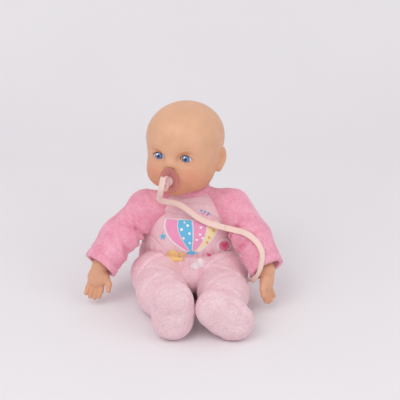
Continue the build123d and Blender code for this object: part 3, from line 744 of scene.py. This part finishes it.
def make_eye(side):
    """A glossy ball with a printed iris and a painted highlight, a moulded lid on its upper part and lashes."""
    ahead, left, up = eye_frame()
    radius = EYE_RADIUS
    rings, turns = 120, 96
    points, colours = [], []
    white = np.array(srgb(238, 240, 243))
    pale, mid, deep = np.array(srgb(110, 158, 214)), np.array(srgb(66, 112, 178)), np.array(srgb(26, 48, 96))
    lid = np.array(SKIN_WARM)
    for i in range(rings + 1):
        angle = math.pi * i / rings
        for j in range(turns):
            turn = 2 * math.pi * j / turns
            direction = (ahead * math.cos(angle)
                         + math.sin(angle) * (left * math.cos(turn) + up * math.sin(turn)))
            reach = radius + 0.55 * max(0.0, 1 - (angle / 0.62) ** 2) ** 1.5
            points.append(eyes[side] + direction * reach)
            off = radius * math.sin(angle)
            rise = math.degrees(math.asin(max(-1, min(1, direction @ up))))
            # painted highlight: a small white spot above and beside the pupil, painted into the colours as the
            # lamp's reflection on the eye
            painted_highlight_offset = direction - ahead * 0.93 - up * 0.24 + left * 0.16
            if np.linalg.norm(painted_highlight_offset) < 0.13:
                colour = np.array((0.95, 0.95, 0.97))
            elif rise > 40 and direction @ ahead > -0.3:
                colour = lid
            elif angle < math.pi / 2 and off < PUPIL_RADIUS:
                colour = np.array((0.004, 0.005, 0.01))
            elif angle < math.pi / 2 and off < IRIS_RADIUS:
                t = (off - PUPIL_RADIUS) / (IRIS_RADIUS - PUPIL_RADIUS)
                streak = 0.5 + 0.5 * math.sin(turn * 17 + 2 * math.sin(turn * 5))
                colour = pale * (1 - t) + mid * t
                colour = colour * (0.85 + 0.2 * streak)
                colour = colour * (1 - t**6) + deep * t**6
            else:
                edge = max(0.0, 1 - (off - IRIS_RADIUS) / 0.35) if angle < math.pi / 2 else 0.0
                colour = white * (1 - edge) + deep * edge
                corner = min(1.0, max(0.0, (off - 4.6) / 2.2))
                colour = colour * (1 - 0.35 * corner) + np.array(srgb(214, 170, 168)) * 0.35 * corner
            colours.append(colour)
    faces = []
    for i in range(rings):
        for j in range(turns):
            k = (j + 1) % turns
            faces.append((i * turns + j, i * turns + k, (i + 1) * turns + k, (i + 1) * turns + j))
    ball = make_mesh(f"eye_{side}_ball", points, faces)
    merge(ball)
    distances_colour(ball, np.array(points), np.array(colours))
    material, tree, shader, place = new_material(f"eye_{side}_gloss")
    grain = ramp(tree, noise(tree, place, 900, 2), 0.3, 0.7, (0.95, 0.95, 0.95), (1.02, 1.02, 1.02))
    tree.links.new(mix(tree, tint_layer(tree), grain, 1.0, "MULTIPLY"), shader.inputs["Base Color"])
    shader.inputs["Roughness"].default_value = 0.08
    shader.inputs["Coat Weight"].default_value = 0.6
    shader.inputs["Coat Roughness"].default_value = 0.03
    finish_piece(ball, material, "eye_white", f"eyeball_{side}", f"cornea_{side}")
    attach(ball, f"eye_{side}")
    make_lashes(side)


def merge(piece, distance=1e-6):
    build = bmesh.new()
    build.from_mesh(piece.data)
    bmesh.ops.remove_doubles(build, verts=build.verts, dist=distance)
    bmesh.ops.recalc_face_normals(build, faces=build.faces)
    build.to_mesh(piece.data)
    build.free()


def distances_colour(piece, points, colours):
    """Colours carried over to the merged points by place."""
    tree = KDTree(len(points))
    for i, point in enumerate(points):
        tree.insert(point, i)
    tree.balance()
    tint(piece, np.array([colours[tree.find(p)[1]] for p in points_of(piece)]))


def make_lashes(side):
    """Short dark lashes along the upper lid's edge."""
    ahead, left, up = eye_frame()
    outer = OUT[side]
    points, faces = [], []
    for i in range(27):
        u = -1 + 2 * i / 26
        x = u * 5.4
        z = 3.7 * (1 - (x / 6.1) ** 2) + 0.1
        y = math.sqrt(max(7.9**2 - x * x - z * z, 1))
        root = eyes[side] + left * x * outer + up * z + ahead * y
        tip = root + ahead * 1.5 + up * (0.7 + 0.3 * abs(u)) + left * outer * u * 1.3
        side_way = left * 0.2
        base = len(points)
        points += [root - side_way, root + side_way, root + up * 0.3, tip]
        faces += [(base, base + 1, base + 3), (base + 1, base + 2, base + 3),
                  (base + 2, base, base + 3), (base, base + 2, base + 1)]
    lashes = make_mesh(f"lashes_{side}", points, faces, smooth=False)
    finish_piece(lashes, plastic_material(f"lash_fibre_{side}", srgb(58, 36, 28), 0.6), "eye_white")
    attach(lashes, f"eye_{side}")


make_head()
for side in ("left", "right"):
    make_eye(side)


# Romper body

STATIONS = np.array((0, 8, 24, 40, 47, 52, 66, 80, 92, 100, 106), float)
HALF_WIDTH = np.array((40, 48, 53, 52, 47.5, 49, 48, 44, 36, 27, 19.5), float)
HALF_DEPTH = np.array((26, 33, 37.5, 38.5, 36, 39, 37, 32, 26, 21.5, 18.5), float)
LEAN = math.tan(math.radians(5.0))
SET_BACK = -13.0


def body_at(z):
    wide = np.interp(z, STATIONS, HALF_WIDTH)
    deep = np.interp(z, STATIONS, HALF_DEPTH)
    return wide, deep


def body_field(p):
    wide = deep = 0
    for shift in (-3.0, -1.5, 0.0, 1.5, 3.0):
        w, b = body_at(p[..., 2] + shift)
        wide = wide + w / 5
        deep = deep + b / 5
    middle = SET_BACK + np.clip(p[..., 2], 0, 110) * LEAN
    q = np.stack((p[..., 0] / wide, (p[..., 1] - middle) / deep), axis=-1)
    d = (np.linalg.norm(q, axis=-1) - 1) * np.minimum(wide, deep)
    between = (hip["left"] + hip["right"]) / 2
    d = join(d, ellipsoid(p, between + (2.0, -14.0, 1.0), (17.0, 17.0, 15.0)), 8)
    d = -join(-d, p[..., 2] - 0.1, 5)
    return -join(-d, 107.0 - p[..., 2], 3)


def front_crease(p, points, width):
    """A ridge of height 1 along a line of (x, z) points, whatever the depth."""
    return crease(p * np.array((1.0, 0, 1.0)), [(x, 0.0, z) for x, z in points], width)


def body_relief(p, out):
    front = np.clip(-1.6 * out[:, 1], 0, 1)
    rear = np.clip(2 * out[:, 1], 0, 1) * (p[:, 2] > 50)
    r = 0.35 * ripple(p, 3, 23) + 0.25 * ripple(p, 4, 11)
    across = [(-34, 85.5), (-22, 87.6), (-6, 86.4), (6, 85.0)]
    r -= 2.1 * front_crease(p, across, 1.5) * front
    r += 1.7 * front_crease(p, [(x, z + 3.4) for x, z in across], 2.8) * front
    r -= 1.5 * front_crease(p, [(-8, 97.6), (6, 98.6), (18, 97.2)], 1.2) * front
    r += 1.0 * front_crease(p, [(-8, 100.4), (6, 101.4), (18, 100.0)], 2.0) * front
    r -= 1.3 * front_crease(p, [(20, 86), (30, 80), (36, 72)], 1.5) * front
    r += 0.9 * front_crease(p, [(20, 89), (31, 83), (38, 75)], 2.4) * front
    r -= 1.0 * front_crease(p, [(-44, 66), (-34, 61), (-26, 54)], 1.4) * front
    r -= 0.9 * np.exp(-((p[:, 0] / 0.8) ** 2)) * rear
    r += 0.7 * np.clip(p[:, 0], 0, 1) * (p[:, 0] < 9) * rear
    r -= 0.25 * np.exp(-(((p[:, 0] - 7.5) / 0.5) ** 2)) * rear
    angle = np.arctan2(p[:, 0], -(p[:, 1] - SET_BACK))
    gathers = np.sin(angle * 34 + 2 * np.sin(angle * 5)) * np.exp(-(((p[:, 2] - 47) / 6.5) ** 2))
    r += 0.8 * gathers - 0.9 * np.exp(-(((p[:, 2] - 46.5) / 1.1) ** 2))
    r -= 0.6 * np.exp(-((p[:, 0] / 0.8) ** 2)) * (p[:, 2] < 45)
    return r


def make_body():
    low, high = node_box("romper_seat")
    top = node_box("romper_front_panel")[1]
    front = SET_BACK - max(HALF_DEPTH) - 30
    body = sculpt("romper_body", body_field, (low[0] - 8, front, -3),
                  (high[0] + 8, high[1] + 8, top[2] + 6), 1.15, body_relief)
    finish_piece(body, LIGHT, "light_velour", "romper_front_panel", "romper_back_left",
                 "romper_back_right", "romper_seat", "torso_stuffing", "seat_bean_bag", "waist_elastic",
                 "hook_strip", "loop_strip")
    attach(body, "torso")
    return body


body = make_body()


# Print on the front: a plain balloon, clouds, hearts and dots, laid out as seen from in front and above

class Ink:
    """The printed shapes of one colour and layer."""

    def __init__(self, name, colour, layer):
        self.name, self.colour, self.layer = name, colour, layer
        self.points, self.faces = [], []

    def grid(self, rows):
        base, width = len(self.points), len(rows[0])
        for row in rows:
            self.points += list(row)
        for i in range(len(rows) - 1):
            for j in range(width - 1):
                a = base + i * width + j
                self.faces.append((a, a + 1, a + width + 1, a + width))

    def patch(self, outline, centre, rings=5):
        """A star-shaped patch from its closed outline."""
        outline = np.array(list(outline) + [outline[0]], float)
        centre = np.asarray(centre, float)
        self.grid([centre + (outline - centre) * share for share in np.linspace(0.02, 1, rings + 1)])

    def band(self, first, second, wide=8, high=18):
        """The strip between two smooth edges given by their control points."""
        a, b = smooth_edge(first, high), smooth_edge(second, high)
        self.grid([[a[i] + (b[i] - a[i]) * t for t in np.linspace(0, 1, wide)] for i in range(high)])


def smooth_edge(control, count):
    """A Bezier edge through the control polygon."""
    control = np.asarray(control, float)
    rows = []
    for t in np.linspace(0, 1, count):
        level = control
        while len(level) > 1:
            level = level[:-1] * (1 - t) + level[1:] * t
        rows.append(level[0])
    return np.array(rows)


def oval(centre, rx, ry, turn=0.0, count=28):
    angles = np.linspace(0, 2 * math.pi, count, endpoint=False)
    c, s = math.cos(turn), math.sin(turn)
    x, y = rx * np.cos(angles), ry * np.sin(angles)
    return [(centre[0] + a * c - b * s, centre[1] + a * s + b * c) for a, b in zip(x, y)]


def heart(centre, size, turn=0.0, count=40):
    points = []
    for t in np.linspace(0, 2 * math.pi, count, endpoint=False):
        x = size * math.sin(t) ** 3
        y = size / 16 * (13 * math.cos(t) - 5 * math.cos(2 * t) - 2 * math.cos(3 * t) - math.cos(4 * t))
        c, s = math.cos(turn), math.sin(turn)
        points.append((centre[0] + x * c - y * s, centre[1] + x * s + y * c))
    return points


def star(centre, size):
    points = []
    for i in range(10):
        reach = size if i % 2 == 0 else size * 0.5
        angle = math.pi / 2 + i * math.pi / 5
        points.append((centre[0] + reach * math.cos(angle), centre[1] + reach * math.sin(angle)))
    return points


GORE_EDGES = [
    [(-33.0, -19.0), (-38.5, -32.0), (-26.0, -44.0), (-12.5, -51.0)],
    [(-22.0, -20.0), (-25.5, -30.0), (-18.0, -41.0), (-11.0, -51.0)],
    [(-8.0, -20.5), (-6.0, -30.0), (-7.0, -42.0), (-7.8, -51.0)],
    [(6.5, -22.0), (8.0, -32.0), (3.0, -44.0), (-4.2, -50.5)],
    [(18.0, -22.5), (18.0, -33.0), (8.0, -45.0), (-2.2, -51.0)],
]


def print_inks():
    white = Ink("white", srgb(240, 228, 232), 0.2)
    white.band([(-34.6, -18.2), (-40.6, -33.0), (-27.5, -45.4), (-13.0, -52.2)],
               [(19.6, -21.6), (19.6, -34.0), (9.0, -46.4), (-1.2, -52.2)], 30, 24)
    white.patch(oval((24.0, -45.5), 7.6, 7.0), (24.0, -45.5))
    for centre, rx, ry in (((0.5, -63.0), 5.2, 4.6), ((-4.5, -66.0), 5.0, 3.0), ((5.5, -66.0), 3.6, 2.8)):
        white.patch(oval(centre, rx, ry), centre)
    pink = Ink("pink", srgb(240, 156, 194), 0.36)
    blue = Ink("blue", srgb(104, 192, 230), 0.36)
    yellow = Ink("yellow", srgb(244, 230, 178), 0.36)
    rose = Ink("rose", srgb(236, 146, 172), 0.36)
    pink.band(GORE_EDGES[0], GORE_EDGES[1])
    blue.band([(x + 0.9, y) for x, y in GORE_EDGES[1]], [(x - 0.6, y) for x, y in GORE_EDGES[2]])
    pink.band([(x + 0.6, y) for x, y in GORE_EDGES[2]], [(x - 0.6, y) for x, y in GORE_EDGES[3]])
    yellow.band([(x + 0.6, y) for x, y in GORE_EDGES[3]], GORE_EDGES[4])
    blue.patch(oval((-8.3, -52.8), 5.2, 1.7), (-8.3, -52.8), 2)
    blue.patch(star((-37.0, -36.5), 3.6), (-37.0, -36.5), 2)
    rose.patch(oval((24.0, -45.5), 5.3, 4.8), (24.0, -45.5), 4)
    dots = Ink("dots", srgb(246, 246, 250), 0.5)
    for centre, size in (((-18.4, -29.5), 1.5), ((-12.4, -25.6), 1.4), ((-10.6, -33.6), 1.4),
                         ((-16.4, -38.2), 1.3), ((-10.2, -43.0), 1.2), ((-15.5, -22.6), 1.0)):
        dots.patch(oval(centre, size, size, 0, 14), centre, 2)
    for centre in ((0.0, -34.6), (0.8, -27.6), (-3.4, -40.0), (2.6, -38.2)):
        dots.patch(heart(centre, 1.5), centre, 2)
    deep = Ink("deep", srgb(226, 94, 136), 0.5)
    deep.patch(heart((24.0, -45.0), 3.3), (24.0, -45.5), 3)
    deep.patch(heart((8.6, -54.5), 1.9, -0.5), (8.6, -54.5), 2)
    gold = Ink("gold", srgb(244, 208, 140), 0.42)
    for centre, rx, ry in (((-27.0, -55.0), 6.2, 5.4), ((-35.5, -58.6), 6.6, 2.8),
                           ((-17.5, -54.6), 2.7, 3.0), ((-22.5, -59.0), 5.0, 2.2)):
        gold.patch(oval(centre, rx, ry), centre, 3)
    amber = Ink("amber", srgb(236, 178, 112), 0.5)
    amber.band([(-45.0, -60.5), (-36.0, -63.0), (-24.0, -62.8), (-15.0, -60.0)],
               [(-45.0, -60.0), (-36.0, -61.2), (-24.0, -61.0), (-15.0, -59.2)], 4, 18)
    for centre in ((10.8, -26.5), (13.6, -30.6), (9.0, -37.5), (7.0, -42.5)):
        amber.patch(oval(centre, 1.3, 1.6, 0.4, 12), centre, 2)
    beads = Ink("beads", srgb(128, 170, 220), 0.42)
    for centre in ((1.4, -10.6), (5.0, -11.8), (8.6, -13.2)):
        beads.patch(oval(centre, 1.25, 1.1, 0, 14), centre, 2)
    petals = Ink("petals", srgb(222, 132, 190), 0.42)
    for centre in ((3.2, -13.6), (6.9, -14.9)):
        petals.patch(heart(centre, 1.2), centre, 2)
    return [white, pink, blue, yellow, rose, dots, deep, gold, amber, beads, petals]


def make_print(ground):
    """Every shape pressed onto the cloth along the lines of sight."""
    tree = BVHTree.FromPolygons([tuple(v.co) for v in ground.data.vertices],
                                [tuple(f.vertices) for f in ground.data.polygons])
    eye = Vector((view_target + view_back() * VIEW_DISTANCE) * MM)
    rise = np.array((0, math.sin(VIEW_RISE), math.cos(VIEW_RISE)))
    for ink in print_inks():
        places = []
        for x, y in ink.points:
            aim = Vector((view_target + np.array((1.0, 0, 0)) * x + rise * y) * MM)
            hit, normal = tree.ray_cast(eye, (aim - eye).normalized())[:2]
            if hit is None:
                hit, normal = tree.find_nearest(aim)[:2]
            places.append((np.array(hit) + np.array(normal) * ink.layer * MM) / MM)
        shape = make_mesh(f"print_{ink.name}", places, ink.faces)
        finish_piece(shape, print_material(f"ink_{ink.name}", ink.colour), "light_velour")
        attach(shape, "torso")


make_print(body)


# Sleeves

def sleeve_axis(side):
    a = shoulder[side]
    b = wrist[side]
    end = b + (b - a) / np.linalg.norm(b - a) * 4.6
    return a, end


def sleeve_field(side):
    start, end = sleeve_axis(side)
    out = OUT[side]
    along = (end - start) / np.linalg.norm(end - start)
    elbow = start + (end - start) * 0.55 + np.array((out * 2.0, 1.5, 2.0))
    collar_side = np.array((out * 17.0, neck[1] - 3.0, 103.0))

    def field(p):
        drop = np.array((0, 0, -4.5 if out < 0 else 0.0))
        d = taper(p, start + (out * 1.0, 0, 0) + drop, elbow, 18.2, 18.2)
        d = join(d, taper(p, elbow, end + along * 3, 17.8, 18.1), 7)
        d = join(d, taper(p, collar_side, start + drop, 7.0 if out < 0 else 6.5, 14.5), 9)
        if out < 0:
            d = join(d, taper(p, start + (12.0, -6.0, 2.0), start, 10.0, 16.5), 9)
        past = (p - end) @ along
        d = np.maximum(d, past)
        hollow = taper(p, end - along * 9, end + along * 9, 12.0, 16.0)
        return cut(d, hollow, 1.2)

    return field


def sleeve_relief(side):
    start, end = sleeve_axis(side)
    along = (end - start) / np.linalg.norm(end - start)
    length = np.linalg.norm(end - start)
    inward = np.array((-OUT[side], -0.35, -0.5))
    inward -= along * (inward @ along)
    inward /= np.linalg.norm(inward)

    def relief(p, out):
        s = (p - start) @ along / length
        facing = out @ inward
        r = 0.5 * ripple(p, 11 + (side == "left"), 17) + 0.35 * ripple(p, 15, 8)
        for place, slant, depth, width in ((0.27, 0.16, 2.8, 0.032), (0.43, -0.1, 3.4, 0.03),
                                           (0.56, 0.12, 2.4, 0.034), (0.71, -0.08, 1.1, 0.03)):
            line = s - place - slant * facing - 0.02 * np.sin(out @ np.cross(along, inward) * 4)
            grip = np.clip(0.35 + facing, 0, 1) * (s > 0)
            r -= depth * grip * np.exp(-((line / width) ** 2))
            r += 0.6 * depth * grip * np.exp(-(((line - 1.6 * width) / (1.5 * width)) ** 2))
        cuff = (s * length - length + 8.5)
        r -= 0.9 * np.exp(-((cuff / 0.9) ** 2)) * (s > 0.5)
        if side == "left":
            r -= 1.5 * crease(p, ribbon_side_points[:9], 4.2)
        return r

    return relief


def make_sleeve(side):
    low, high = node_box(f"sleeve_{side}")
    c_low, c_high = node_box(f"cuff_{side}")
    low, high = np.minimum(low, c_low), np.maximum(high, c_high)
    if side == "left":
        low[0] = 5
    else:
        high[0] = -5
    sleeve = sculpt(f"sleeve_{side}_plush", sleeve_field(side), low - 6, high + (6, 6, 10), 1.1,
                    sleeve_relief(side))
    finish_piece(sleeve, PLUSH, "plush", f"sleeve_{side}", f"cuff_{side}", f"arm_stuffing_{side}")
    start = sleeve_axis(side)[0]
    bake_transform(sleeve)


for side in ("left", "right"):
    make_sleeve(side)


# Hands

def hand_frame(side):
    """Where the hand starts, the way it points, the thumb's side and the back of the hand."""
    top = sleeve_axis(side)[1]
    if side == "left":
        point = np.array((0.03, -0.05, -1.0))
        thumb = np.array((-0.5, -0.87, 0.0))
    else:
        point = np.array((-0.24, -0.12, -0.96))
        thumb = np.array((1.0, -0.18, 0.0))
    point /= np.linalg.norm(point)
    thumb -= point * (thumb @ point)
    thumb /= np.linalg.norm(thumb)
    back = np.cross(thumb, point) * (-OUT[side])
    return top, point, thumb, back


def hand_field(side):
    top, point, thumb, back = hand_frame(side)
    start, end = sleeve_axis(side)
    along = (end - start) / np.linalg.norm(end - start)

    def at(down, across, out=0.0):
        return top + point * down + thumb * across + back * out

    def field(p):
        d = taper(p, top - along * 14, top, 7.6, 7.4)
        d = join(d, taper(p, top, at(7, 0), 7.2, 6.4), 4)
        q = np.stack(((p - at(13, -0.5, -0.3)) @ thumb, (p - at(13, -0.5, -0.3)) @ back,
                      (p - at(13, -0.5, -0.3)) @ point), axis=-1)
        d = join(d, ellipsoid(q, (0, 0, 0), (9.6, 5.6, 10.5)), 4.5)
        d = join(d, ellipsoid(q, (5.5, -1.2, -2.5), (5.0, 4.6, 7.0)), 3)
        for i, (length, curl) in enumerate(((12.5, 1.6), (15.0, 2.2), (14.6, 3.0), (12.0, 3.8))):
            across = 6.3 - 4.25 * i
            root = at(19.5, across * 0.95, 0.4)
            mid = at(19.5 + length * 0.5, across * 1.06, 0.2 - curl * 0.35)
            tip = at(19.5 + length * 0.92, across * 1.04, -0.4 - curl)
            finger = join(taper(p, root, mid, 2.75, 2.6), taper(p, mid, tip, 2.55, 2.15), 0.8)
            d = join(d, finger, 1.3)
        knuckle = at(9, 8.0, -1.0)
        bend = at(15.5, 13.0, -2.0)
        tip = at(21.5, 14.2, -3.0)
        thumb_part = join(taper(p, knuckle, bend, 3.9, 3.2), taper(p, bend, tip, 3.0, 2.5), 1.0)
        d = join(d, thumb_part, 2.5)
        for i in range(4):
            d = cut(d, ellipsoid(p, at(19.0, 6.2 - 4.15 * i, 5.6), (1.1, 1.1, 1.1)), 1.5)
        return d

    return field


def hand_colours(side, points):
    top, point, thumb, back = hand_frame(side)
    down = (points - top) @ point
    colour = np.tile(np.array(SKIN), (len(points), 1))
    deep = np.clip((down - 17) / 10, 0, 1)[:, None] * 0.25
    colour = colour * (1 - deep) + np.array(SKIN_WARM) * deep
    palm = np.clip(-((points - top) @ back - 1) / 5, 0, 1)[:, None] * 0.2
    return colour * (1 - palm) + np.array(SKIN_WARM) * palm


def make_hand(side):
    low, high = node_box(f"hand_{side}")
    hand = sculpt(f"hand_{side}_vinyl", hand_field(side), low - 8, high + 8, 0.6)
    tint(hand, hand_colours(side, points_of(hand)))
    finish_piece(hand, VINYL, "skin_vinyl", f"hand_{side}")
    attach(hand, f"arm_{side}")


for side in ("left", "right"):
    make_hand(side)


# Legs

def foot_middle(side):
    low, high = node_box(f"sole_{side}")
    return (low + high) / 2


ROLL = {"left": math.radians(50), "right": 0.0}
KNEE = {"left": (2.0, -36.0, -3.3), "right": (6.5, -36.0, -3.3)}


def leg_field(side):
    start = hip[side]
    sole = foot_middle(side)
    knee = start + np.array(KNEE[side])
    ankle = np.array((sole[0], sole[1] + 30, 21.0))
    roll = ROLL[side]
    c, s = math.cos(roll), math.sin(roll)
    middle = np.array((sole[0], sole[1] + 12.0, sole[2]))

    def rolled(p, centre):
        q = p - centre
        return np.stack((q[..., 0] * c + q[..., 2] * s, q[..., 1], -q[..., 0] * s + q[..., 2] * c), axis=-1)

    def field(p):
        share = np.clip((p[..., 1] + 108.0) / 44.0, 0, 1)
        flatter = 1 + 0.12 * share * share * (3 - 2 * share)
        p = np.stack((p[..., 0], p[..., 1], p[..., 2] * flatter), axis=-1)
        d = np.linalg.norm(p - start, axis=-1) - 27.0
        d = join(d, taper(p, start, knee, 25.6, 24.0), 4)
        d = join(d, taper(p, knee, ankle, 24.0, 19.0), 8)
        q = rolled(p, middle)
        foot = ellipsoid(q, (0, 2.0, 0), (20.8, 17.0, 29.0))
        foot = join(foot, ellipsoid(q, (0, -2.0, 13.5), (17.5, 12.5, 14.5)), 6)
        foot = join(foot, ellipsoid(q, (0, 2.0, -15.0), (16.5, 15.0, 13.5)), 6)
        d = join(d, foot, 9)
        front = -(p[..., 1] - (sole[1] - 4.2))
        d = -join(-d, -front, 5)
        return -join(-d, p[..., 2] - 0.15, 3)

    return field


def leg_relief(side):
    sole = foot_middle(side)
    seam = sole[1] + 5.0

    def relief(p, out):
        r = 0.4 * ripple(p, 21 + (side == "left"), 19) + 0.28 * ripple(p, 25, 9)
        r -= 0.8 * np.exp(-(((p[:, 1] - seam - 0.03 * (p[:, 2] - 25)) / 0.9) ** 2))
        front = np.clip(-out[:, 1], 0, 1)
        r += front * 0.22 * np.sin((p[:, 2] + 0.4 * p[:, 0]) * 0.42 + 1.6 * np.sin(p[:, 0] * 0.19))
        top = np.clip(out[:, 2], 0, 1)
        y0 = hip[side][1]
        for place, slant, depth in ((-9, 0.7, 1.2), (-26, -0.55, 0.8), (-45, 0.6, 1.0), (-62, -0.3, 1.5)):
            line = p[:, 1] - y0 - place - slant * (p[:, 0] - hip[side][0])
            r -= depth * top * np.exp(-((line / 2.3) ** 2))
            r += 0.6 * depth * top * np.exp(-(((line - 4.0) / 3.2) ** 2))
        return r

    return relief


def make_leg(side):
    low, high = node_box(f"trouser_leg_{side}")
    s_low, s_high = node_box(f"sole_{side}")
    low, high = np.minimum(low, s_low), np.maximum(high, s_high)
    leg = sculpt(f"trouser_leg_{side}_velour", leg_field(side), low - 6, high + 6, 1.15, leg_relief(side))
    finish_piece(leg, LEGCLOTH, "light_velour", f"trouser_leg_{side}", f"leg_stuffing_{side}",
                 f"sole_{side}")
    leg.data.materials.append(SOLE)
    seam = foot_middle(side)[1] + 5.0
    for face in leg.data.polygons:
        centre = np.array(face.center) / MM
        if centre[1] < seam + 0.03 * (centre[2] - 25):
            face.material_index = 1
    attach(leg, f"leg_{side}")


for side in ("left", "right"):
    make_leg(side)


# Collar

def make_collar():
    low, high = node_box("collar")
    middle = (low + high) / 2

    def field(p):
        q = p - middle
        around = np.hypot(q[..., 0], q[..., 1] * 1.02) - 18.2
        return np.hypot(around / 1.0, (q[..., 2] - 0.02 * q[..., 1]) / 1.25) - 2.9

    def relief(p, out):
        angle = np.arctan2(p[:, 0] - middle[0], p[:, 1] - middle[1])
        return 0.3 * np.sin(angle * 60) + 0.5 * ripple(p, 31, 14)

    collar = sculpt("collar_rib", field, low - 5, high + 6, 0.8, relief)
    finish_piece(collar, PLUSH, "plush", "collar")
    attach(collar, "torso")


make_collar()


# Remaining CAD pieces keep their shape and take a finished material

def dress_cad_nodes():
    slots = {part["node"]: part["material_slot"] for part in frame["record"]["subparts"]}
    made = {
        "casing": plastic_material("casing_plastic", srgb(236, 234, 232), 0.45),
        "button_plastic": plastic_material("button_red", srgb(214, 64, 70), 0.35),
        "electronics": plastic_material("board_green", srgb(34, 96, 62), 0.4),
        "metal": metal_material("bright_metal", (0.62, 0.62, 0.64)),
        "tie_nylon": plastic_material("tie_nylon", srgb(232, 230, 226), 0.5),
        "tape": weave_material("label_tape", srgb(243, 240, 240), 0.0006, 0.1, 0.5),
        "elastic": weave_material("elastic_web", srgb(240, 226, 228), 0.0008),
        "stuffing": weave_material("filling_cloth", srgb(240, 238, 232), 0.001),
        "pacifier_rose": plastic_material("pacifier_rose", srgb(242, 172, 164), 0.16, 0.6),
        "pacifier_pale": plastic_material("pacifier_pale", srgb(248, 208, 204), 0.22, 0.15),
        "pacifier_soft": plastic_material("teat_silicone", srgb(238, 214, 190), 0.2, 0.4),
    }
    for name, node in frame["nodes"].items():
        if slots.get(name) in made:
            node.data.materials.clear()
            node.data.materials.append(made[slots[name]])


dress_cad_nodes()
